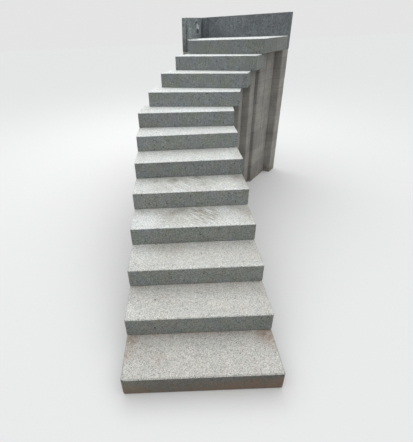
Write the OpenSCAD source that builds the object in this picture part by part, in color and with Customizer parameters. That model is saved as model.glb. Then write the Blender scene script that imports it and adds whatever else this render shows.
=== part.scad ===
// Outdoor flight of twelve solid stone block steps: seven laid straight, five fanned
// out to the right, and a landing closed by upright slabs at the head.
// Millimetres, +Z up, +Y up the flight, +X right as seen from its foot. The origin is
// the middle of the underside of the bottom block.

/* [Step blocks] */
// Length of every block, across the flight
block_length = 1000; // [800:10:1200]
// Depth of every block, along the flight
block_depth = 400; // [370:5:450]
// Height of every block, which is the rise of one step
block_height = 150; // [120:5:180]
// Going: from one nosing to the next, at the outer end where the flight turns
going = 330; // [300:5:350]
// Bevel along the arrises of a block
arris = 4; // [2:1:8]
// Bedding gap between a block and what carries it
bed_gap = 0.3; // [0.2:0.1:0.5]

/* [Layout] */
// Blocks in the flight
step_count = 12; // [10:1:12]
// Blocks laid straight before the flight turns
straight_count = 7; // [5:1:8]
// Turn of the first fanned block, to the right going up (degrees)
first_turn = 5; // [4:0.5:8]
// Further turn of each block above it (degrees)
turn_step = 7.5; // [5:0.5:9]
// Bearing on which the second fanned block is set out from the first (degrees)
first_bearing = 18; // [10:1:20]
// Further bearing of each block above it (degrees)
bearing_step = 7; // [5:0.5:9]
// Bearing past which the outer line runs straight (degrees)
last_bearing = 32; // [28:1:38]

/* [Head of the flight] */
// Depth of the strip that widens the top tread to a landing
landing_depth = 400; // [300:10:450]
// Reach of the landing past the outer end of the top block
landing_reach = 280; // [200:10:320]
// Height of the upright slabs above the landing
slab_rise = 250; // [200:10:300]
// Thickness of the upright slabs
slab_thickness = 80; // [60:5:100]

/* [Bearing walls] */
// Thickness of the walls that carry the block ends
wall_thickness = 200; // [150:10:250]
// Set-back of those walls from the block ends
wall_inset = 100; // [60:10:150]

/* [Hidden] */
far = 4000;

// Turn of block n, clockwise from above
function turn(n) = n <= straight_count ? 0 : first_turn + (n - straight_count - 1) * turn_step;

// Bearing on which block n is set out from the one below it
function bearing(n) = n <= straight_count + 1
    ? 0
    : min(first_bearing + (n - straight_count - 2) * bearing_step, last_bearing);

// Front corner of block n at its outer, left end
function corner(n) = n == 1
    ? [-block_length / 2, -block_depth / 2]
    : corner(n - 1) + going * [sin(bearing(n)), cos(bearing(n))];

// Level of the underside of block n
function bed_level(n) = (n - 1) * block_height;

// Puts its children in block n's own frame: outer front corner, x along, y back
module on_block(n) {
    translate([corner(n).x, corner(n).y, 0]) rotate(-turn(n)) children();
}

// Rectangle with bevelled corners
module bevelled(a, b, c) {
    polygon([[c, 0], [a - c, 0], [a, c], [a, b - c], [a - c, b], [c, b], [0, b - c], [0, c]]);
}

// Sawn stone with all its arrises bevelled
module stone(l, d, h) {
    intersection() {
        linear_extrude(h) bevelled(l, d, arris);
        translate([0, d, 0]) rotate([90, 0, 0]) linear_extrude(d) bevelled(l, h, arris);
        rotate([90, 0, 90]) linear_extrude(l) bevelled(d, h, arris);
    }
}

// Solid step block, laid on the back edge of the one below
module step(n) {
    color("gray") on_block(n) translate([0, 0, bed_level(n)]) stone(block_length, block_depth, block_height - bed_gap);
}

// Strip behind the top block that widens its tread to a landing
module landing_strip() {
    color("gray") on_block(step_count)
        translate([-landing_reach, block_depth + bed_gap, bed_level(step_count)])
            stone(block_length + landing_reach, landing_depth, block_height - bed_gap);
}

// Upright slab across the back of the landing
module head_slab() {
    color("dimgray") on_block(step_count)
        translate([-landing_reach, block_depth + landing_depth + 2 * bed_gap, bed_level(step_count)])
            stone(block_length + landing_reach, slab_thickness, block_height + slab_rise);
}

// Upright slab at the outer end of the landing
module cheek_slab() {
    color("gray") on_block(step_count)
        translate([-landing_reach - bed_gap - slab_thickness, block_depth + bed_gap, bed_level(step_count)])
            stone(slab_thickness, landing_depth + bed_gap + slab_thickness, block_height + slab_rise);
}

// Stepped wall under the straight blocks, its left face at x
module stepped_wall(x) {
    start = -block_depth / 2;
    points = [
        for (n = [2 : straight_count])
            for (end = [0, 1])
                [start + (n - 2 + end) * going + block_depth + (1 - end) * bed_gap, bed_level(n) - bed_gap]
    ];
    translate([x, 0, 0]) rotate([90, 0, 90]) linear_extrude(wall_thickness)
        polygon(concat([[points[0].x, 0]], points, [[points[len(points) - 1].x, 0]]));
}

// Pier under block n, its left face at x in the block's frame, stopped at the block below
module pier(n, x) {
    difference() {
        on_block(n) translate([x, 0, 0]) cube([wall_thickness, block_depth, bed_level(n) - bed_gap]);
        on_block(n - 1) translate([-far / 2, -far, -1]) cube([far, far + block_depth + bed_gap, far]);
    }
}

left_x = wall_inset;
right_x = block_length - wall_inset - wall_thickness;
head_left = -landing_reach - bed_gap - slab_thickness;
head_back = block_depth + landing_depth + 2 * bed_gap + slab_thickness;

module wall_left() {
    color("darkgray") stepped_wall(-block_length / 2 + left_x);
}

module wall_right() {
    color("darkgray") stepped_wall(-block_length / 2 + right_x);
}

module pier_left(n) {
    color("darkgray") pier(n, left_x);
}

module pier_right(n) {
    color("darkgray") pier(n, right_x);
}

// Cross wall at the head, under the upright slab and the back edge of the landing
module head_wall() {
    color("darkgray") on_block(step_count)
        translate([head_left, head_back - wall_thickness, 0])
            cube([block_length - head_left, wall_thickness, bed_level(step_count) - bed_gap]);
}

// Wall from the piers of the top block back to the cross wall, its left face at x
module head_return(x) {
    color("darkgray") on_block(step_count)
        translate([x, block_depth + bed_gap, 0])
            cube([
                wall_thickness,
                head_back - wall_thickness - block_depth - 2 * bed_gap,
                bed_level(step_count) - bed_gap
            ]);
}

step(1);  // step_01
step(2);  // step_02
step(3);  // step_03
step(4);  // step_04
step(5);  // step_05
step(6);  // step_06
step(7);  // step_07
step(8);  // step_08
step(9);  // step_09
step(10);  // step_10
step(11);  // step_11
step(12);  // step_12
landing_strip();
head_slab();
cheek_slab();
wall_left();
wall_right();
pier_left(8);  // pier_left_08
pier_left(9);  // pier_left_09
pier_left(10);  // pier_left_10
pier_left(11);  // pier_left_11
pier_left(12);  // pier_left_12
pier_right(8);  // pier_right_08
pier_right(9);  // pier_right_09
pier_right(10);  // pier_right_10
pier_right(11);  // pier_right_11
pier_right(12);  // pier_right_12
head_wall();
head_return(head_left);  // head_return_left
head_return(right_x);  // head_return_right
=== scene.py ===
import bpy
import numpy as np
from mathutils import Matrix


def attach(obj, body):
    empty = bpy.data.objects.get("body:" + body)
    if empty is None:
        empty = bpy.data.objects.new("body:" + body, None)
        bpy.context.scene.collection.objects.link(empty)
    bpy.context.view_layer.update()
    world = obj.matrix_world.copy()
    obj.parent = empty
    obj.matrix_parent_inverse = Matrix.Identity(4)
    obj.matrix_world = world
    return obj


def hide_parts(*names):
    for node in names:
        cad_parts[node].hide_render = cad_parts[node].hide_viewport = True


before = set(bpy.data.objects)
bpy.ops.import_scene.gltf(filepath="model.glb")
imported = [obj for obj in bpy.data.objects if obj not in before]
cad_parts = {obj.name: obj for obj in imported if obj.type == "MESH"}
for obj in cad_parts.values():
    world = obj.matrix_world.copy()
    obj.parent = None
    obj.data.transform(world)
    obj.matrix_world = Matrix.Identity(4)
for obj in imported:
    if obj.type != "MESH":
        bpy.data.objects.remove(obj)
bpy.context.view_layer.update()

# Step blocks, and the strip that widens the top tread to a landing. Each is one solid grey
# granite stone, flamed on top, sawn on its other faces and bevelled along every arris, and is
# laid on the back edge of the block below and on its two walls or piers. Sizes are in metres.
step_blocks = [f"step_{number:02d}" for number in range(1, 13)]
# From one nosing to the next, in the straight part of the flight
going = 0.33
# Bevel along the arrises, and how much wider boots have worn it, from the bottom block up
arris = 0.004
worn_off = (0.0030, 0.0015, 0.0010, 0, 0, 0, 0, 0, 0, 0, 0, 0, 0)
# Chips that are off the arrises of one block, their radius and their depth, at least and at most
block_chips = 20
chip_radius = (0.010, 0.030)
chip_depth = (0.0002, 0.0024)
# Points along each side and bevel of a block's section, from its underside round, and its rings
block_counts = (20, 4, 24, 4, 44, 4, 24, 4)
block_rings_along = 226
# Grey of the flamed tops, partly paler stone and partly painted light from above
tread_grey = (0.630, 0.655, 0.645)
side_green = (0.233, 0.252, 0.230)
side_blue = (0.232, 0.249, 0.258)
cool_tint = (0.985, 1.003, 1.003)
warm_tint = (1.010, 1.000, 0.985)
# Tint that the thin film gives a sawn face
soiled_tint = (1.045, 1.000, 0.965)
# Thin grey film that boots tread up the flight, thinner on each higher tread up to the film height.
# Its thinning is also a painted sheen of the sky, which makes the upper treads paler
film_grey = (0.459, 0.450, 0.423)
film_and_sheen_height = 1.4
# Colours of mud and dust. They also colour the painted shade along each riser's foot and on the top
# treads
mud_and_shade_brown = (0.226, 0.146, 0.095)
dust_and_shade_olive = (0.165, 0.142, 0.103)
mud_and_shade_cover = 0.85
# Mud on a block, and painted shade on the top ones, as spots: along, back and up from its outer
# front corner, radius, strength
mud_and_shade_spots = {
    "step_01": [
        (0.03, 0.30, 0.15, 0.08, 0.8), (0.00, 0.18, 0.15, 0.10, 0.5), (0.95, 0.31, 0.15, 0.12, 1.0),
        (0.99, 0.20, 0.15, 0.10, 0.4), (0.22, 0.13, 0.15, 0.10, 0.3), (0.10, 0.24, 0.15, 0.16, 0.2),
        (0.50, 0.16, 0.15, 0.90, 0.06), (0.98, 0.00, 0.00, 0.17, 1.6), (0.82, 0.00, 0.00, 0.17, 1.5),
        (0.66, 0.00, 0.00, 0.17, 0.9), (0.50, 0.00, 0.00, 0.17, 0.6), (0.33, 0.00, 0.00, 0.17, 0.5),
        (0.16, 0.00, 0.00, 0.17, 0.5), (0.02, 0.00, 0.00, 0.17, 0.9),
    ],
    "step_02": [(0.28, 0.25, 0.15, 0.14, 0.12), (1.00, 0.20, 0.15, 0.11, 0.2)],
    "step_03": [
        (0.22, 0.26, 0.15, 0.10, 0.22), (0.36, 0.26, 0.15, 0.12, 0.24), (1.00, 0.18, 0.15, 0.11, 0.2),
        (0.86, 0.10, 0.15, 0.28, 0.06),
    ],
    "step_04": [
        (0.41, 0.30, 0.15, 0.09, 0.65), (0.345, 0.24, 0.15, 0.07, 0.65), (0.55, 0.25, 0.15, 0.05, 0.5),
        (0.585, 0.23, 0.15, 0.05, 0.6), (0.63, 0.205, 0.15, 0.05, 0.5), (0.69, 0.175, 0.15, 0.05, 0.5),
        (0.66, 0.125, 0.15, 0.06, 0.35), (0.30, 0.19, 0.15, 0.07, 0.3), (0.275, 0.11, 0.15, 0.11, 0.15),
        (0.40, 0.15, 0.15, 0.12, 0.10), (0.90, 0.31, 0.15, 0.12, 0.3), (1.00, 0.20, 0.15, 0.14, 0.7),
        (1.00, 0.04, 0.15, 0.13, 0.3),
    ],
    "step_05": [
        (0.575, 0.30, 0.15, 0.07, 0.7), (0.35, 0.25, 0.15, 0.08, 1.0), (0.19, 0.24, 0.15, 0.06, 0.4),
        (0.15, 0.30, 0.15, 0.06, 0.3), (0.26, 0.11, 0.15, 0.08, 0.2), (0.625, 0.13, 0.15, 0.05, 0.35),
        (0.58, 0.11, 0.15, 0.04, 0.3), (1.00, 0.24, 0.15, 0.17, 0.9), (0.99, 0.07, 0.15, 0.12, 0.55),
        (0.92, 0.32, 0.15, 0.09, 0.4), (0.56, 0.31, 0.15, 0.06, 0.3),
    ],
    "step_06": [
        (0.71, 0.27, 0.15, 0.08, 0.2), (0.55, 0.18, 0.15, 0.28, 0.10), (1.00, 0.20, 0.15, 0.14, 0.4),
        (1.00, 0.06, 0.15, 0.13, 0.4),
    ],
    "step_07": [(0.13, 0.28, 0.15, 0.09, 0.25), (0.92, 0.15, 0.15, 0.15, 0.1)],
    "step_08": [(0.05, 0.15, 0.15, 0.25, 0.2)],
    "step_10": [(0.25, 0.15, 0.15, 0.40, 0.15), (0.70, 0.15, 0.15, 0.40, 0.12)],
    # The wide faint spots on step_12 and the landing strip are painted shade
    "step_12": [(0.50, 0.20, 0.15, 0.80, 0.14)],
    "landing_strip": [(0.64, 0.20, 0.15, 0.90, 0.14)],
}
# Painted shade along the foot of the next block, where that block shades the back of the tread
# below, laid like mud, on each tread from the bottom up
painted_foot_shade = (0.60, 0.25, 0.02, 0.13, 0.50, 0.04, 0, 0, 0, 0, 0, 0, 0)
painted_foot_shade_width = 0.03
# How much paler the front edge of each tread is, with less film, from the bottom up
paler_front_edge = (0, 0.15, 0.25, 0.75, 0.80, 1.00, 0.25, 0, 0, 0, 0, 0, 0)
paler_front_width = 0.045
# Spots where a tread is paler, with less film, as mud spots are given
paler_spots = {
    "step_02": [(0.03, 0.07, 0.15, 0.16, 0.3)],
    "step_03": [(0.10, 0.06, 0.15, 0.20, 0.15), (0.06, 0.25, 0.15, 0.20, 0.4)],
    "step_04": [
        (0.08, 0.10, 0.15, 0.26, 0.85), (0.50, 0.00, 0.15, 0.20, 0.35), (0.78, 0.03, 0.15, 0.18, 0.40),
        (0.76, 0.27, 0.15, 0.10, 0.5),
    ],
    "step_05": [(0.06, 0.14, 0.15, 0.20, 0.25)],
    "step_06": [(0.55, 0.08, 0.15, 0.20, 0.5)],
    "step_08": [(0.60, 0.15, 0.15, 0.45, 1.0)],
}
# Damp that darkens the sawn faces, as mud spots are given. The foot of each of these faces is
# darker too, by this share under the thickest film, fading out over this height
damp_spots = {"step_01": [(0.85, 0.00, 0.00, 0.45, 0.35), (0.35, 0.00, 0.00, 0.40, 0.25)]}
foot_darkening_share = 0.10
foot_darkening_height = 0.03
# How pale the sawn faces of each stone are against the others, from the bottom block up
sawn_tones = (0.77, 0.92, 0.99, 0.97, 1.03, 0.90, 1.01, 0.92, 0.97, 0.91, 0.88, 0.79, 0.92)
# Boot scuffs on a tread, as mud spots are given
scuffs = {"step_04": [(0.59, 0.18, 0.15, 0.24, 1.0)], "step_05": [(0.48, 0.17, 0.15, 0.36, 0.5)]}
scuff_angle = np.radians(-50)
scuff_cover = 0.80
scratch_cover = 0.90
scratch_pale = (0.78, 0.80, 0.80)
# Where boots have left a thin olive film on a tread, as mud spots are given
trodden_spots = {
    "step_03": [(0.30, 0.26, 0.15, 0.26, 0.6)],
    "step_04": [(0.47, 0.16, 0.15, 0.36, 1.0)],
    "step_05": [(0.28, 0.22, 0.15, 0.30, 0.55), (0.60, 0.20, 0.15, 0.34, 0.6)],
    "step_06": [(0.30, 0.20, 0.15, 0.30, 0.4), (0.62, 0.18, 0.15, 0.36, 0.4)],
}
trodden_olive = (0.350, 0.350, 0.270)
trodden_cover = 0.55
# Sizes of the crystals. The coarse ones show more from the bottom block up, as a power of the way
# to the landing, and where boots tread
crystal_sizes = (0.003, 0.005, 0.009)
coarse_at_head = 0.75
coarse_growth = 0.7
coarse_underfoot = 0.45


def node_points(name):
    """Points of a node's mesh."""
    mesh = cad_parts[name].data
    points = np.empty(3 * len(mesh.vertices))
    mesh.vertices.foreach_get("co", points)
    return points.reshape(-1, 3)


def set_out(name):
    """Where a stone lies, read off its node: its corner, its directions (along, back, up) and its
    size. Back is square to its largest upright face, and along is back turned a quarter."""
    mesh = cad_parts[name].data
    normal = np.empty(3 * len(mesh.polygons))
    mesh.polygons.foreach_get("normal", normal)
    normal = normal.reshape(-1, 3)
    area = np.empty(len(mesh.polygons))
    mesh.polygons.foreach_get("area", area)
    upright = np.abs(normal[:, 2]) < 0.01
    back = normal[np.argmax(area * upright)]
    back = back * np.sign(back[1])
    up = np.array([0.0, 0.0, 1.0])
    directions = np.array([np.cross(back, up), back, up])
    reach = node_points(name) @ directions.T
    return reach.min(0) @ directions, directions, np.ptp(reach, axis=0)


def crowd(count, pinch=0.8):
    """Fractions from 0 to 1 that lie closer towards both ends: t - pinch * sin(2 pi t) / (2 pi)."""
    t = np.linspace(0, 1, count)
    return t - pinch * np.sin(2 * np.pi * t) / (2 * np.pi)


def block_rings(size, bevel, counts, stations):
    """Rings of a block's skin. The section is a rectangle with bevelled corners, walked round from
    its underside, and is carried along the block. At both ends it is drawn in by the bevel, and
    further rings shrink it towards the middle of the end face."""
    length, depth, height = size
    corners = np.array([
        (bevel, 0), (depth - bevel, 0), (depth, bevel), (depth, height - bevel),
        (depth - bevel, height), (bevel, height), (0, height - bevel), (0, bevel),
    ])
    sides = zip(corners, np.roll(corners, -1, axis=0), counts)
    section = np.concatenate([a + (b - a) * crowd(count)[:-1, None] for a, b, count in sides])
    middle = np.array([depth, height]) / 2
    drawn_in = 1 - bevel / middle
    shrink = np.array([0.12, 0.4, 0.65, 0.82, 0.9, 0.95, 0.98])[:, None] * drawn_in
    share = np.concatenate([shrink, [drawn_in], np.ones((stations, 2)), [drawn_in], shrink[::-1]])
    ends = np.zeros(len(shrink) + 1)
    along = np.concatenate([ends, np.linspace(bevel, length - bevel, stations), ends + length])
    rings = np.empty((len(along), len(section), 3))
    rings[:, :, 0] = along[:, None]
    rings[:, :, 1:] = middle + (section - middle) * share[:, None]
    return rings


def close_rings(rings):
    """Points and faces of a tube: quads from ring to ring, and a fan to the middle at each end."""
    count, around = rings.shape[:2]
    here = np.arange(count * around).reshape(count, around)
    after = np.roll(here, -1, axis=1)
    quads = np.stack([here[:-1], after[:-1], after[1:], here[1:]], axis=-1).reshape(-1, 4)
    first = np.stack([after[0], here[0], np.full(around, count * around)], axis=-1)
    last = np.stack([here[-1], after[-1], np.full(around, count * around + 1)], axis=-1)
    points = np.concatenate([rings.reshape(-1, 3), rings[:1].mean(axis=1), rings[-1:].mean(axis=1)])
    return points, quads.tolist() + first.tolist() + last.tolist()


def scoop(points, centre, radius):
    """Points inside a ball move straight away from its centre, onto its surface."""
    away = points - centre
    distance = np.linalg.norm(away, axis=1, keepdims=True)
    return np.where(distance < radius, centre + away / distance * radius, points)


def knock(points, size, bevel, draw, count):
    """Chips off the bevels, each a shallow scoop whose ball stands over a spot of an arris. Seven in
    ten are on the long arrises."""
    for _ in range(count):
        side = draw.integers(0, 2, 3)
        along = draw.choice(3, p=[0.7, 0.15, 0.15]) == np.arange(3)
        spot = np.where(along, draw.uniform(0, 1, 3), side) * size
        outward = np.where(along, 0, 2 * side - 1) / np.sqrt(2)
        radius = draw.uniform(*chip_radius)
        bite = bevel / np.sqrt(2) + draw.uniform(*chip_depth)
        points = scoop(points, spot + outward * (radius - bite), radius)
    return np.clip(points, 0, size)


def soft_spot(points, centre, radius):
    """One at the centre, falling smoothly to nought at the radius: (1 - (d / r) squared) squared."""
    share = np.linalg.norm(points - np.array(centre), axis=1) / radius
    return np.clip(1 - share**2, 0, 1) ** 2


def all_spots(points, spots, name):
    """Sum of the soft spots that are given for a stone, each times its strength, and at most one."""
    total = np.zeros(len(points))
    for *centre, radius, strength in spots.get(name, []):
        total += strength * soft_spot(points, centre, radius)
    return np.minimum(total, 1)


def make_piece(name, points, faces, material, slot, smooth=False):
    """New object at the origin from points and faces, in its material. The slot is not used."""
    mesh = bpy.data.meshes.new(name)
    mesh.from_pydata(points.tolist(), [], faces)
    mesh.polygons.foreach_set("use_smooth", np.full(len(mesh.polygons), smooth))
    mesh.materials.append(material)
    piece = bpy.data.objects.new(name, mesh)
    bpy.context.scene.collection.objects.link(piece)
    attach(piece, "root")
    return piece


def add_mask(piece, name, values):
    """A number for each point of the piece, for its material to read."""
    mask = piece.data.attributes.new(name, "FLOAT", "POINT")
    mask.data.foreach_set("value", values.astype(np.float32))


def new_material(name):
    """Material and its node tree, which holds a Principled shader."""
    material = bpy.data.materials.new(name)
    material.use_nodes = True
    return material, material.node_tree


def add(tree, kind, inputs=(), **settings):
    """New node; each input is a value or another node's output, given by its name or number."""
    node = tree.nodes.new(kind)
    for key, value in settings.items():
        setattr(node, key, value)
    for key, value in dict(inputs).items():
        if isinstance(value, bpy.types.NodeSocket):
            tree.links.new(value, node.inputs[key])
        else:
            node.inputs[key].default_value = value
    return node


def object_place(tree):
    """Object coordinates, in metres."""
    return add(tree, "ShaderNodeTexCoord").outputs["Object"]


def upright_part(tree, vector):
    """A vector's part along the upright."""
    return add(tree, "ShaderNodeSeparateXYZ", {0: vector}).outputs[2]


def facing_up(tree):
    """How far a face looks up: one where it lies level, nought where it stands upright."""
    return upright_part(tree, add(tree, "ShaderNodeNewGeometry").outputs["Normal"])


def read_mask(tree, name):
    """The number that a piece's mask gives at each place."""
    return add(tree, "ShaderNodeAttribute", attribute_name=name).outputs["Fac"]


def maths(tree, operation, *values):
    """Result of a Math node on one to three values."""
    return add(tree, "ShaderNodeMath", enumerate(values), operation=operation).outputs[0]


def product(tree, value, *others):
    """All the values multiplied together."""
    for other in others:
        value = maths(tree, "MULTIPLY", value, other)
    return value


def linear(tree, value, slope, start=1.0):
    """Start + slope * value."""
    return maths(tree, "MULTIPLY_ADD", value, slope, start)


def ease(tree, value, low, high, to_low=0.0, to_high=1.0):
    """Value taken smoothly from the range low to high to the range to_low to to_high."""
    inputs = {0: value, 1: low, 2: high, 3: to_low, 4: to_high}
    return add(tree, "ShaderNodeMapRange", inputs, interpolation_type="SMOOTHSTEP").outputs[0]


def swing(tree, value, low, high):
    """Value of a cloud, mostly 0.3 to 0.7, taken to the range low to high."""
    return ease(tree, value, 0.3, 0.7, low, high)


def lay_over(tree, share, under, over, blend="MIX"):
    """Colour over, laid on colour under by that share."""
    inputs = {0: share}
    for number, colour in ((6, under), (7, over)):
        inputs[number] = colour if isinstance(colour, bpy.types.NodeSocket) else (*colour, 1)
    return add(tree, "ShaderNodeMix", inputs, data_type="RGBA", blend_type=blend).outputs[2]


def shade(tree, colour, *levels):
    """Colour times each level or tint in turn, where a level of 1 leaves it as it is."""
    for level in levels:
        colour = lay_over(tree, 1.0, colour, level, "MULTIPLY")
    return colour


def in_sizes(tree, place, sizes, angle=0.0):
    """Place counted in one size, or in one for each axis, along axes turned by the angle about the
    upright."""
    inputs = {"Vector": place, "Rotation": (0, 0, angle), "Scale": np.broadcast_to(sizes, 3)}
    return add(tree, "ShaderNodeMapping", inputs, vector_type="TEXTURE").outputs[0]


def cloud(tree, place, sizes, detail=4, roughness=0.6, angle=0.0):
    """Soft random value, mostly 0.3 to 0.7, in clouds of the given size or sizes."""
    inputs = {"Scale": 1.0, "Detail": detail, "Roughness": roughness}
    inputs["Vector"] = in_sizes(tree, place, sizes, angle)
    return add(tree, "ShaderNodeTexNoise", inputs).outputs[0]


def cells(tree, place, sizes):
    """Random value from 0 to 1 for each cell of the given sizes, and the distance to its middle."""
    cell = add(tree, "ShaderNodeTexVoronoi", {"Vector": in_sizes(tree, place, sizes), "Scale": 1.0})
    lot = add(tree, "ShaderNodeSeparateColor", {0: cell.outputs["Color"]}).outputs[0]
    return lot, cell.outputs["Distance"]


def crystals(tree, place, size, spread):
    """Level for crystals of one size, most of them pale and a few dark, each by a number drawn by
    lot: 1 + spread * (its fourth root - 4/5), which is 1 on average."""
    lot, _ = cells(tree, place, size)
    pale = maths(tree, "SUBTRACT", maths(tree, "POWER", lot, 0.25), 0.8)
    return linear(tree, pale, spread)


def speckle(tree, place, sizes, share, reach):
    """One inside ragged spots, nought outside them: that share of the cells of the given sizes has
    a spot, of a size drawn by lot up to that reach."""
    lot, middle = cells(tree, place, sizes)
    own = ease(tree, lot, 1 - share, 1.0, 0.0, reach)
    ragged = cloud(tree, place, 0.3 * np.array(sizes), detail=2, roughness=0.5)
    inside = maths(tree, "SUBTRACT", own, linear(tree, ragged, 0.2, middle))
    return ease(tree, inside, -0.1, -0.1 + 0.3 * reach)


def set_finish(material, colour, roughness, relief, depth, strength=0.7):
    """Gives a material its colour, its roughness and its relief, so many metres deep."""
    tree = material.node_tree
    bump = add(tree, "ShaderNodeBump", {"Strength": strength, "Distance": depth, "Height": relief})
    finish = {"Base Color": colour, "Normal": bump.outputs[0], "Roughness": roughness}
    for name, output in finish.items():
        tree.links.new(output, tree.nodes["Principled BSDF"].inputs[name])


def face_colour(tree, place, flamed):
    """Granite before its grain: green and blue in cloudy patches where it is sawn, times the tone
    of the stone, paler where it is flamed, partly painted light from above, and greyer and warmer
    under the film, whose thinning up the flight also paints the upper treads' sheen."""
    film_and_sheen = read_mask(tree, "film_and_sheen")
    blue = ease(tree, cloud(tree, place, 0.14, detail=3, roughness=0.5), 0.40, 0.60)
    blue = product(tree, blue, linear(tree, film_and_sheen, -0.5))
    warm = ease(tree, cloud(tree, place, 0.09, detail=3), 0.38, 0.62)
    soiled = lay_over(tree, product(tree, film_and_sheen, warm), (1.0, 1.0, 1.0), soiled_tint)
    sawn = shade(tree, lay_over(tree, blue, side_green, side_blue), read_mask(tree, "tone"), soiled)
    colour = lay_over(tree, flamed, sawn, lay_over(tree, film_and_sheen, tread_grey, film_grey))
    return shade(tree, colour, lay_over(tree, warm, cool_tint, warm_tint))


def grain_levels(tree, place, facing, flamed, grain, pit):
    """Levels of the granite's grain: crystals of three sizes, its fine grain, cloudy patches, saw
    streaks on the sawn faces, dark dots, pits and upright veins, and paler arrises: whitened stone,
    and a painted highlight along the bevels."""
    coarse = read_mask(tree, "coarse")
    fine = ease(tree, flamed, 0.0, 1.0, 1.15, linear(tree, coarse, -0.4, 1.30))
    middling = ease(tree, flamed, 0.0, 1.0, 1.30, linear(tree, coarse, -0.1, 1.02))
    levels = [crystals(tree, place, *pair) for pair in zip(crystal_sizes, (fine, middling, coarse))]
    streak = cloud(tree, place, (0.012, 0.012, 0.25), detail=5, roughness=0.7)
    sawn = maths(tree, "SUBTRACT", 1.0, flamed)
    streak = product(tree, swing(tree, streak, 0.93, 1.07), sawn)
    dot = speckle(tree, place, (0.030, 0.030, 0.036), 0.60, 0.28)
    dot_change = ease(tree, flamed, 0.0, 1.0, linear(tree, coarse, -0.55, -0.30), -0.25)
    vein = speckle(tree, place, (0.090, 0.090, 0.450), 0.50, 0.07)
    # Painted highlight along the bevels, where they face half up, and the whiter stone of worn arrises
    pale_arris_and_highlight = product(tree, ease(tree, facing, 0.2, 0.6), ease(tree, facing, 0.97, 0.8))
    return levels + [
        ease(tree, grain, 0.25, 0.75, 0.80, 1.20),
        swing(tree, cloud(tree, place, 0.10), 0.95, 1.05),
        maths(tree, "ADD", flamed, streak), linear(tree, dot, dot_change),
        linear(tree, pit, -0.65), linear(tree, vein, -0.35), linear(tree, pale_arris_and_highlight, 0.30),
    ]


def lay_dirt_and_shade(tree, place, flamed, colour):
    """Colour with what lies on it: the olive film of boots in mottles, mud or dust in clods, and
    painted shade in the same colours at the foot of each riser and on the top treads, and the dark
    and pale lines of boot scuffs, which run at one angle and come and go in smudges."""
    mottle = ease(tree, cloud(tree, place, 0.013, detail=3), 0.44, 0.58)
    trodden = product(tree, read_mask(tree, "trodden"), flamed, mottle, trodden_cover)
    colour = lay_over(tree, trodden, colour, trodden_olive)
    clod = cloud(tree, place, 0.03, detail=6, roughness=0.7)
    clod = ease(tree, clod, 0.34, 0.60, 0.35, 1.0)
    soil = lay_over(tree, ease(tree, read_mask(tree, "film_and_sheen"), 0.80, 0.98), dust_and_shade_olive, mud_and_shade_brown)
    colour = lay_over(tree, product(tree, read_mask(tree, "mud_and_shade"), clod, mud_and_shade_cover), colour, soil)
    scuff = product(tree, read_mask(tree, "scuff"), flamed)
    line = cloud(tree, place, (0.13, 0.014, 0.10), roughness=0.65, angle=scuff_angle)
    smudge = ease(tree, cloud(tree, place, (0.07, 0.05, 0.07)), 0.42, 0.60)
    dark = product(tree, ease(tree, line, 0.54, 0.40), linear(tree, smudge, 0.70, 0.30))
    colour = lay_over(tree, product(tree, scuff, dark, scuff_cover), colour, dust_and_shade_olive)
    scratch = product(tree, scuff, ease(tree, line, 0.54, 0.62), scratch_cover)
    return lay_over(tree, scratch, colour, scratch_pale)


def step_stone():
    """Grey granite with its pits, and the dirt on it. The flamed top is rougher than the sawn
    faces: its relief is the grain times 1, and theirs the grain times 0.35."""
    material, tree = new_material("step_stone")
    place = object_place(tree)
    facing = facing_up(tree)
    flamed = ease(tree, facing, 0.45, 0.9)
    grain = cloud(tree, place, 0.006, roughness=0.75)
    pit = speckle(tree, place, (0.060, 0.060, 0.080), 0.60, 0.13)
    levels = grain_levels(tree, place, facing, flamed, grain, pit)
    colour = shade(tree, face_colour(tree, place, flamed), *levels)
    colour = lay_dirt_and_shade(tree, place, flamed, colour)
    relief = product(tree, grain, ease(tree, flamed, 0.0, 1.0, 0.35, 1.0))
    relief = linear(tree, pit, -0.8, relief)
    set_finish(material, colour, swing(tree, grain, 0.45, 0.65), relief, depth=0.0015)
    return material


def block_masks(name, order, points, level, height):
    """Masks of a block for its points, counted from its outer front corner. The film, and with it the
    painted sheen that makes the upper treads paler, thins out with the level of the block as half a
    cosine wave, and what lies along an edge or the foot, painted shade at the foot among it, fades
    away from it as exp(-distance / width). The rest are soft spots."""
    film_and_sheen = (1 + np.cos(np.pi * min(level / film_and_sheen_height, 1))) / 2
    on_top = points[:, 2] > height - arris / 2
    paler_front = paler_front_edge[order] * np.exp(-points[:, 1] / paler_front_width) * on_top
    paler_share = np.maximum(paler_front, all_spots(points, paler_spots, name))
    # Painted shade at the back of the tread, along the foot of the next block
    foot_shade = painted_foot_shade[order] * np.exp(-np.abs(points[:, 1] - going) / painted_foot_shade_width) * on_top
    darker_foot = foot_darkening_share * film_and_sheen * np.exp(-points[:, 2] / foot_darkening_height)
    damp = np.maximum(darker_foot, all_spots(points, damp_spots, name))
    trodden = all_spots(points, trodden_spots, name) * (1 - paler_front)
    coarse = coarse_at_head * (order / len(step_blocks)) ** coarse_growth
    return {
        "film_and_sheen": film_and_sheen * (1 - paler_share),
        "mud_and_shade": np.maximum(foot_shade, all_spots(points, mud_and_shade_spots, name)),
        "tone": sawn_tones[order] * (1 - damp),
        "trodden": trodden,
        "coarse": coarse + coarse_underfoot * trodden,
        "scuff": all_spots(points, scuffs, name),
    }


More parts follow.
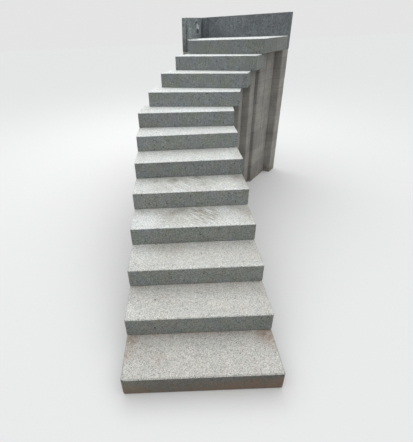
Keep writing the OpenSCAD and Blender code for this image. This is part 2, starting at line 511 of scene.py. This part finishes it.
stone = step_stone()
for order, name in enumerate(step_blocks + ["landing_strip"]):
    corner, directions, size = set_out(name)
    bevel = arris + worn_off[order]
    on_stone, faces = close_rings(block_rings(size, bevel, block_counts, block_rings_along))
    worn = knock(on_stone, size, bevel, np.random.default_rng(order), block_chips)
    block = make_piece(f"stone_{name}", corner + worn @ directions, faces, stone, "step_stone")
    for mask, values in block_masks(name, order, on_stone, corner[2], size[2]).items():
        add_mask(block, mask, values)
    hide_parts(name)

# Upright slabs that close the landing at its back and at its outer end. They are darker, denser
# stone than the steps, sawn all round, and stand on the head walls behind and beside the strip.
# The outer one has lost flakes off its inner face.
slab_grey = (0.118, 0.131, 0.140)
cheek_grey = (0.215, 0.238, 0.242)
flake_pale = (0.56, 0.59, 0.60)
# Flakes off a slab's face: along and up from its lower front corner, radius, depth, and how pale
# the stone under it is, where a hollow that holds dirt is below nought
flakes = {
    "cheek_slab": [
        (0.282, 0.296, 0.024, 0.005, 1.0), (0.304, 0.286, 0.022, 0.005, 1.0),
        (0.272, 0.318, 0.014, 0.004, 0.8), (0.278, 0.240, 0.022, 0.005, -1.2),
        (0.300, 0.234, 0.020, 0.005, -1.2), (0.245, 0.338, 0.018, 0.004, -1.0),
    ],
}
# How far the colour of a flake reaches, in radii of the flake
flake_spread = 1.3
# Damp on a slab as spots: along, back and up from its lower front corner, radius and strength,
# which is below nought where the rain washes the stone pale
damp_and_shade_on_slab = {
    "head_slab": [
        (0.14, 0.0, 0.15, 0.17, 0.25), (0.30, 0.0, 0.16, 0.18, 0.22), (0.52, 0.0, 0.30, 0.30, -0.08),
        (0.03, 0.0, 0.38, 0.10, -0.22),
    ],
    "cheek_slab": [
        # The first spot on the cheek slab, low at its front end, is damp and painted shade of the gap
        # there
        (0.00, 0.00, 0.03, 0.13, 0.60), (0.15, 0.00, 0.40, 0.10, 0.25), (0.07, 0.00, 0.27, 0.11, -0.25),
    ],
}
# Dark joints that open on a slab: along from its lower front corner. Then their width, how much
# they darken the slab, how high they reach, and the stretch over which they fade out below that
slab_joints = {"head_slab": [0.0], "cheek_slab": [0.0, 0.40]}
joint_width = 0.010
joint_darkness = 0.75
joint_top = 0.38
joint_fade = 0.12
slab_chips = 22
# Points along each side and bevel of a slab's section, from its underside round, and its rings
slab_counts = (14, 4, 70, 4, 14, 4, 70, 4)
slab_rings_along = 181
slab_seed = 40


def slab_stone(name, grey):
    """Dark sawn stone: fine even grain, soft upright runs of lime and damp, slanting saw scratches,
    a paler top, pale fresh stone or dirt where a flake is off, and damp, with some painted shade,
    as its mask says."""
    material, tree = new_material(name)
    place = object_place(tree)
    grain = cloud(tree, place, 0.006, roughness=0.75)
    damp = cloud(tree, place, (0.20, 0.20, 0.12))
    runs = cloud(tree, place, (0.035, 0.035, 0.40))
    slanting = add(tree, "ShaderNodeMapping", {"Vector": place, "Rotation": (0.35, 0.35, 0)})
    scratch = cloud(tree, slanting.outputs[0], (0.008, 0.008, 0.30), detail=2, roughness=0.5)
    colour = shade(
        tree, grey, crystals(tree, place, 0.004, 1.12), crystals(tree, place, 0.012, 1.05),
        ease(tree, grain, 0.25, 0.75, 0.84, 1.16), ease(tree, damp, 0.32, 0.68, 0.84, 1.16),
        swing(tree, cloud(tree, place, 0.03), 0.88, 1.12), swing(tree, runs, 0.88, 1.13),
        ease(tree, scratch, 0.66, 0.76, 1.0, 1.30),
        ease(tree, facing_up(tree), 0.5, 0.95, 1.0, 1.55),
    )
    flake = read_mask(tree, "flake")
    broken = ease(tree, cloud(tree, place, 0.015, roughness=0.7), 0.35, 0.5, 0.4, 1.0)
    fresh = product(tree, ease(tree, flake, 0.05, 0.30), broken)
    dirty = ease(tree, flake, -0.30, -0.05, 0.28, 1.0)
    dry = maths(tree, "SUBTRACT", 1.0, read_mask(tree, "darkening"))
    colour = shade(tree, lay_over(tree, fresh, colour, flake_pale), dirty, dry)
    set_finish(material, colour, swing(tree, damp, 0.38, 0.6), grain, depth=0.0012, strength=0.5)
    return material


def slab_darkening(name, points):
    """How much darker a slab's stone is at its points, counted from its lower front corner: its damp
    spots, one of them painted shade as well, and its joints, each a dark line that fades as
    exp(-(distance / width) squared)."""
    dry = 1 - all_spots(points, damp_and_shade_on_slab, name)
    fade = np.clip((joint_top - points[:, 2]) / joint_fade, 0, 1)
    for along in slab_joints[name]:
        away = np.hypot(points[:, 0] - along, points[:, 1])
        dry *= 1 - joint_darkness * fade * np.exp(-(away / joint_width) ** 2)
    return 1 - dry


for seed, (name, grey) in enumerate([("head_slab", slab_grey), ("cheek_slab", cheek_grey)]):
    corner, directions, size = set_out(name)
    on_slab, faces = close_rings(block_rings(size, arris, slab_counts, slab_rings_along))
    worn = knock(on_slab, size, arris, np.random.default_rng(slab_seed + seed), slab_chips)
    flake = np.zeros(len(on_slab))
    for along, up, radius, depth, pale in flakes.get(name, []):
        ball = (radius**2 + depth**2) / (2 * depth)
        worn = scoop(worn, np.array([along, depth - ball, up]), ball)
        flake += pale * soft_spot(on_slab, (along, 0, up), radius * flake_spread)
    dark_stone = slab_stone(name, grey)
    slab = make_piece(f"stone_{name}", corner + worn @ directions, faces, dark_stone, "slab_stone")
    add_mask(slab, "flake", flake)
    add_mask(slab, "darkening", slab_darkening(name, on_slab))
    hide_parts(name)

# Walls, piers and head walls that carry the blocks near their ends, and the slabs. They are
# concrete cast in lifts between boards 0.12 m wide, with chamfered corners, and with thin fins
# where the concrete ran out between two boards.
wall_kinds = ("wall_", "pier_", "head_wall", "head_return")
walls = sorted(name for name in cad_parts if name.startswith(wall_kinds))
wall_grey = (0.335, 0.325, 0.300)
soil_brown = (0.150, 0.115, 0.085)
soil_height = 0.22
soil_cover = 0.75
board = 0.12
chamfer = 0.010
fin = 0.004
# How far a board's face lies behind the wall's face, at least and at most, and how far a fin does
board_depths = (0.0010, 0.0026)
fin_depth = 0.0002
# Board depths drawn by lot for each lift, more than any wall has boards, and the points along each
# side of a wall's plan
boards_drawn = 20
points_a_side = 60
wall_seed = 60


def lifts(name):
    """Plan, foot and top of each lift, from the lowest up. The plan is read off the node's foot and
    runs counter-clockwise. Each lift of a stepped wall starts further back than the one below."""
    points = node_points(name)
    near = 0.001
    foot = points[points[:, 2] < near, :2]
    away = foot - foot.mean(axis=0)
    foot = foot[np.argsort(np.arctan2(away[:, 1], away[:, 0]))]
    foot = foot[np.linalg.norm(foot - np.roll(foot, 1, axis=0), axis=1) > near]
    tops = np.unique(np.round(points[points[:, 2] > near, 2], 4))
    fronts = [points[np.abs(points[:, 2] - top) < near, 1].min() for top in tops]
    plans = [np.column_stack([foot[:, 0], np.maximum(foot[:, 1], front)]) for front in fronts]
    return list(zip(plans, [0, *tops[:-1]], tops))


def round_plan(plan, count):
    """Points round a plan with its corners cut off by the chamfer, so many evenly along each side."""
    side = np.roll(plan, -1, axis=0) - plan
    length = np.linalg.norm(side, axis=1)[:, None, None]
    reach = chamfer + (length - 2 * chamfer) * np.linspace(0, 1, count)[:, None]
    return (plan[:, None] + side[:, None] * reach / length).reshape(-1, 2)


def cast_lift(plan, foot, top, draw):
    """Rings of a lift: its chamfered plan carried up. Each ring is set in by the depth of its board,
    and at a joint by the fin's, which comes and goes round the wall as 0.6 + 0.4 sin(9 s + k) sin(4 s).
    No joint comes closer than a tenth of a board to the lift's foot or top."""
    outline = round_plan(plan, points_a_side)
    margin = 0.1
    joints = np.arange(np.ceil(foot / board + margin), top / board - margin) * board
    at_joints = joints[:, None] + fin * np.array([-1, -0.4, 0, 0.4, 1])
    levels = np.concatenate([[foot], at_joints.ravel(), [top]])
    depths = draw.uniform(*board_depths, boards_drawn)[(levels / board).astype(int)]
    nearest = np.round(levels / board)
    out = np.clip(1 - np.abs(levels - nearest * board) / fin, 0, 1) * (levels > foot) * (levels < top)
    way = np.linspace(0, 2 * np.pi, len(outline), endpoint=False)
    strength = 0.6 + 0.4 * np.sin(9 * way + nearest[:, None]) * np.sin(4 * way)
    depths = depths[:, None] + (fin_depth - depths[:, None]) * out[:, None] * strength
    side = np.roll(outline, -1, axis=0) - outline
    outward = np.column_stack([side[:, 1], -side[:, 0]]) / np.linalg.norm(side, axis=1, keepdims=True)
    before = np.roll(outward, 1, axis=0)
    mitre = (outward + before) / (1 + (outward * before).sum(axis=1, keepdims=True))
    rings = np.empty((len(levels), len(outline), 3))
    rings[:, :, :2] = outline - mitre * depths[:, :, None]
    rings[:, :, 2] = levels[:, None]
    return rings


def join_shells(shells):
    """Points and faces of several closed shells as one mesh."""
    points, faces = [], []
    for shell_points, shell_faces in shells:
        start = sum(len(group) for group in points)
        points.append(shell_points)
        faces += [[start + number for number in face] for face in shell_faces]
    return np.concatenate(points), faces


def wall_concrete():
    """Board-marked concrete: boards of slightly different tone with a dark joint between them, wood
    grain along each, air holes, pale lime bloom and soil left on the foot."""
    material, tree = new_material("wall_concrete")
    place = object_place(tree)
    height = upright_part(tree, place)
    row = maths(tree, "DIVIDE", height, board)
    number = maths(tree, "FLOOR", row)
    lot = add(tree, "ShaderNodeTexWhiteNoise", {"W": number}, noise_dimensions="1D").outputs[0]
    within = maths(tree, "FRACT", row)
    from_joint = maths(tree, "MINIMUM", within, maths(tree, "SUBTRACT", 1.0, within))
    joint = ease(tree, from_joint, 0.040, 0.012)
    slide = add(tree, "ShaderNodeCombineXYZ", {0: product(tree, lot, 7.0)}).outputs[0]
    own_board = add(tree, "ShaderNodeVectorMath", {0: place, 1: slide}, operation="ADD").outputs[0]
    wood = cloud(tree, own_board, (0.40, 0.40, 0.011), detail=5, roughness=0.65)
    bloom = cloud(tree, place, 0.25, detail=5)
    runs = cloud(tree, place, (0.06, 0.06, 0.50))
    sand = cloud(tree, place, 0.004, roughness=0.7)
    hole = speckle(tree, place, 0.022, 0.50, 0.18)
    splash = ease(tree, cloud(tree, place, 0.07, detail=5, roughness=0.65), 0.35, 0.65)
    colour = shade(
        tree, wall_grey, linear(tree, lot, 0.16, 0.92), swing(tree, wood, 0.90, 1.08),
        ease(tree, bloom, 0.35, 0.7, 0.88, 1.18), swing(tree, runs, 0.92, 1.06),
        swing(tree, sand, 0.90, 1.10), linear(tree, joint, -0.24), linear(tree, hole, -0.5),
    )
    soil = product(tree, ease(tree, height, soil_height, 0.0), splash, soil_cover)
    colour = lay_over(tree, soil, colour, soil_brown)
    relief = linear(tree, hole, -1.8, wood)
    set_finish(material, colour, swing(tree, sand, 0.7, 0.9), relief, depth=0.002)
    return material


concrete = wall_concrete()
for seed, name in enumerate(walls):
    draw = np.random.default_rng(wall_seed + seed)
    points, faces = join_shells(close_rings(cast_lift(*lift, draw)) for lift in lifts(name))
    cast = make_piece(f"cast_{name}", points, faces, concrete, "wall_concrete")
    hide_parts(name)

# Bedding mortar under every stone that a wall or pier carries. Sand and cement, pressed out of
# the bed on both sides of the wall when the stone was let down, and struck off with a trowel.
mortar_grey = (0.400, 0.375, 0.330)
step_rise = 0.15
# Size of a bead, the step from ring to ring, and how far from its ends it is drawn in
bead_size = 0.010
bead_step = 0.008
bead_taper = 0.008
# How far outside a wall's side the stone above is looked for, and the least cosine of the angle
# between directions that count as one
look_out = 0.02
parallel = 0.999
mortar_seed = 90


def bead(start, end, level, draw):
    """Rings of a bead in the corner below a stone: a rounded profile of size r carried along the wall,
    r = size (1 + 0.22 sin(a s) + 0.14 sin(b s)), a and b drawn by lot, and drawn in at both ends."""
    turn = np.radians([0, 18, 36, 54, 72, 90])
    behind = -0.3
    face = np.column_stack([np.cos(turn), -np.sin(turn)])
    profile = np.concatenate([[(behind, 0)], face, [(behind, -1)]])
    length = np.linalg.norm(end - start)
    tip = np.array([0, 0.002, 0.006])
    first, margin = 0.012, 0.010
    way = np.concatenate([tip, np.arange(first, length - margin, bead_step), length - tip[::-1]])
    rates = draw.uniform((40, 110), (70, 190))
    wave = way[:, None] * rates + draw.uniform(0, 6, 2)
    size = bead_size * (1 + np.sin(wave) @ [0.22, 0.14])
    size *= np.clip(np.minimum(way, length - way) / bead_taper, 0.15, 1) ** 0.5
    along = (end - start) / length
    outward = np.array([along[1], -along[0]])
    line = start + way[:, None] * along
    aside = size[:, None] * profile[:, 0]
    rings = np.empty((len(way), len(profile), 3))
    rings[:, :, :2] = line[:, None] + aside[:, :, None] * outward
    rings[:, :, 2] = level + size[:, None] * profile[:, 1]
    return rings


def plan_sides(plan):
    """Each side of a plan, as its start, its end, its direction and its outward direction."""
    for start, stop in zip(plan, np.roll(plan, -1, axis=0)):
        along = (stop - start) / np.linalg.norm(stop - start)
        yield start, stop, along, np.array([along[1], -along[0]])


def bed_edges(name):
    """For each lift of a wall, the sides of its top that show below the stone it carries, as (stone,
    start, end, level): their outside lies under the stone, and they run back, not across. The head
    wall's run across."""
    edges = []
    stages = lifts(name)
    ends = [plan[:, 1].min() for plan, _, _ in stages[1:]] + [np.inf]
    for (plan, _, top), end in zip(stages, ends):
        step_name = f"step_{round(top / step_rise) + 1:02d}"
        stone_name = "landing_strip" if name.startswith("head") else step_name
        corner, directions, size = set_out(stone_name)
        plan = np.column_stack([plan[:, 0], np.minimum(plan[:, 1], end)])
        for start, stop, along, outward in plan_sides(plan):
            outside = (start + stop) / 2 + look_out * outward
            on_stone = (outside - corner[:2]) @ directions[:2, :2].T
            under = ((on_stone > 0) & (on_stone < size[:2])).all()
            runs_back = abs(along @ directions[1, :2]) > parallel
            if under and runs_back != (name == "head_wall"):
                edges.append((stone_name, start, stop, top))
    return edges


def bed_mortar():
    """Sand and cement mortar: coarse sand grain, cloudy tone and small hollows between the grains."""
    material, tree = new_material("bed_mortar")
    place = object_place(tree)
    sand = cloud(tree, place, 0.003, roughness=0.75)
    colour = shade(
        tree, mortar_grey, crystals(tree, place, 0.0025, 0.7), swing(tree, sand, 0.8, 1.2),
        swing(tree, cloud(tree, place, 0.05), 0.84, 1.14),
    )
    set_finish(material, colour, swing(tree, sand, 0.75, 0.95), sand, depth=0.002, strength=0.9)
    return material


mortar = bed_mortar()
draw = np.random.default_rng(mortar_seed)
beds = {}
for name in walls:
    for stone_name, start, stop, top in bed_edges(name):
        beds.setdefault(stone_name, []).append(close_rings(bead(start, stop, top, draw)))
for stone_name, shells in sorted(beds.items()):
    make_piece(f"mortar_{stone_name}", *join_shells(shells), mortar, "wall_concrete", smooth=True)

# Plugs that stop the tie holes of the cast walls, where ties held the boards together. Each is
# a flat dab of mortar in a round hole, rubbed level with the fins of the boards.
plug_radius = 0.014
plug_sides = 28
plug_levels = (0.30, 0.90, 1.50)
plug_spacing = 0.75
# Shortest side that has ties, and how far below a lift's top the highest of them is
shortest_tied = 0.25
below_top = 0.06


def plug(centre, outward):
    """Rings of a plug turned about the wall's outward direction: radius and height of each ring
    are steps of one profile, and its face is crowned by 0.7 mm."""
    radii = plug_radius * np.array([1, 1, 0.93, 0.7, 0.3])
    heights = np.array([-0.006, -0.0009, -0.0005, -0.0003, -0.0002])
    turn = np.linspace(0, 2 * np.pi, plug_sides, endpoint=False)[:, None]
    aside = np.array([-outward[1], outward[0], 0])
    circle = np.cos(turn) * aside + np.sin(turn) * np.array([0, 0, 1])
    return centre + heights[:, None, None] * np.append(outward, 0) + radii[:, None, None] * circle


def plug_shells(name):
    """Plugs of a wall: evenly along each side that has ties, on each level that the lift reaches."""
    shells = []
    for plan, foot, top in lifts(name):
        levels = [level for level in plug_levels if foot < level < top - below_top]
        for start, stop, along, outward in plan_sides(plan):
            length = np.linalg.norm(stop - start)
            count = max(1, round(length / plug_spacing)) if length > shortest_tied else 0
            for number in range(count):
                place = start + (number + 0.5) * length / count * along
                shells += [close_rings(plug(np.append(place, level), outward)) for level in levels]
    return shells


shells = [shell for name in walls for shell in plug_shells(name)]
make_piece("tie_hole_plugs", *join_shells(shells), mortar, "wall_concrete", smooth=True)

# Floor: plain, pale and matt, and so wide that it meets the backdrop far off. The camera sees it
# in the tone of the backdrop, but it throws light back up as a darker floor would.
floor_seen = (0.72, 0.72, 0.715)
floor_thrown_back = (0.38, 0.37, 0.35)
floor_reach = 60
quarters = ((-1, -1), (1, -1), (1, 1), (-1, 1))
floor_corners = [(floor_reach * x, floor_reach * y, 0) for x, y in quarters]
floor_mesh = bpy.data.meshes.new("floor")
floor_mesh.from_pydata(floor_corners, [], [(0, 1, 2, 3)])
floor = bpy.data.objects.new("floor", floor_mesh)
bpy.context.scene.collection.objects.link(floor)
paint, tree = new_material("floor_paint")
floor_mesh.materials.append(paint)
seen = add(tree, "ShaderNodeLightPath").outputs["Is Camera Ray"]
shader = tree.nodes["Principled BSDF"]
tree.links.new(lay_over(tree, seen, floor_thrown_back, floor_seen), shader.inputs["Base Color"])
shader.inputs["Roughness"].default_value = 0.9
shader.inputs["Specular IOR Level"].default_value = 0.0

# Light: an even, pale and slightly blue room, one very wide soft lamp straight overhead, and a
# soft square lamp over the head of the flight. The camera and glossy reflections see a plain
# backdrop in place of the room.
room_colour = (0.96, 0.98, 1.0, 1)
room_strength = 0.5
backdrop_colour = (0.777, 0.777, 0.777, 1)
world = bpy.data.worlds.new("studio")
bpy.context.scene.world = world
world.use_nodes = True
tree = world.node_tree
room = tree.nodes["Background"]
room.inputs["Color"].default_value = room_colour
room.inputs["Strength"].default_value = room_strength
backdrop = add(tree, "ShaderNodeBackground", {"Color": backdrop_colour, "Strength": 1.0})
path = add(tree, "ShaderNodeLightPath")
seen = maths(tree, "MAXIMUM", path.outputs["Is Camera Ray"], path.outputs["Is Glossy Ray"])
both = add(tree, "ShaderNodeMixShader", {0: seen, 1: room.outputs[0], 2: backdrop.outputs[0]})
tree.links.new(both.outputs[0], tree.nodes["World Output"].inputs["Surface"])

lamp = bpy.data.lights.new("overhead", "SUN")
lamp.energy = 1.9
lamp.angle = np.radians(110)
overhead = bpy.data.objects.new("overhead", lamp)
bpy.context.scene.collection.objects.link(overhead)

head_lamp = bpy.data.lights.new("over_the_head", "AREA")
head_lamp.size = 4
head_lamp.energy = 70
over_the_head = bpy.data.objects.new("over_the_head", head_lamp)
over_the_head.location = (-0.3, 5.0, 4.6)
over_the_head.visible_camera = False
bpy.context.scene.collection.objects.link(over_the_head)

# Camera: it stands before the bottom block, 1.9 m up, and looks up the flight. Its place, turn
# and lens were solved from the corners of the twelve blocks in the photograph.
lens = bpy.data.cameras.new("camera")
lens.lens = 25.46
lens.sensor_width = 36
lens.shift_x = 0.0578
lens.shift_y = 0.0221
camera = bpy.data.objects.new("camera", lens)
camera.location = (-0.0856, -1.3055, 1.9119)
camera.rotation_euler = np.radians((57.293, 2.205, -1.093))
bpy.context.scene.collection.objects.link(camera)
bpy.context.scene.camera = camera
bpy.context.scene.view_settings.view_transform = "Standard"
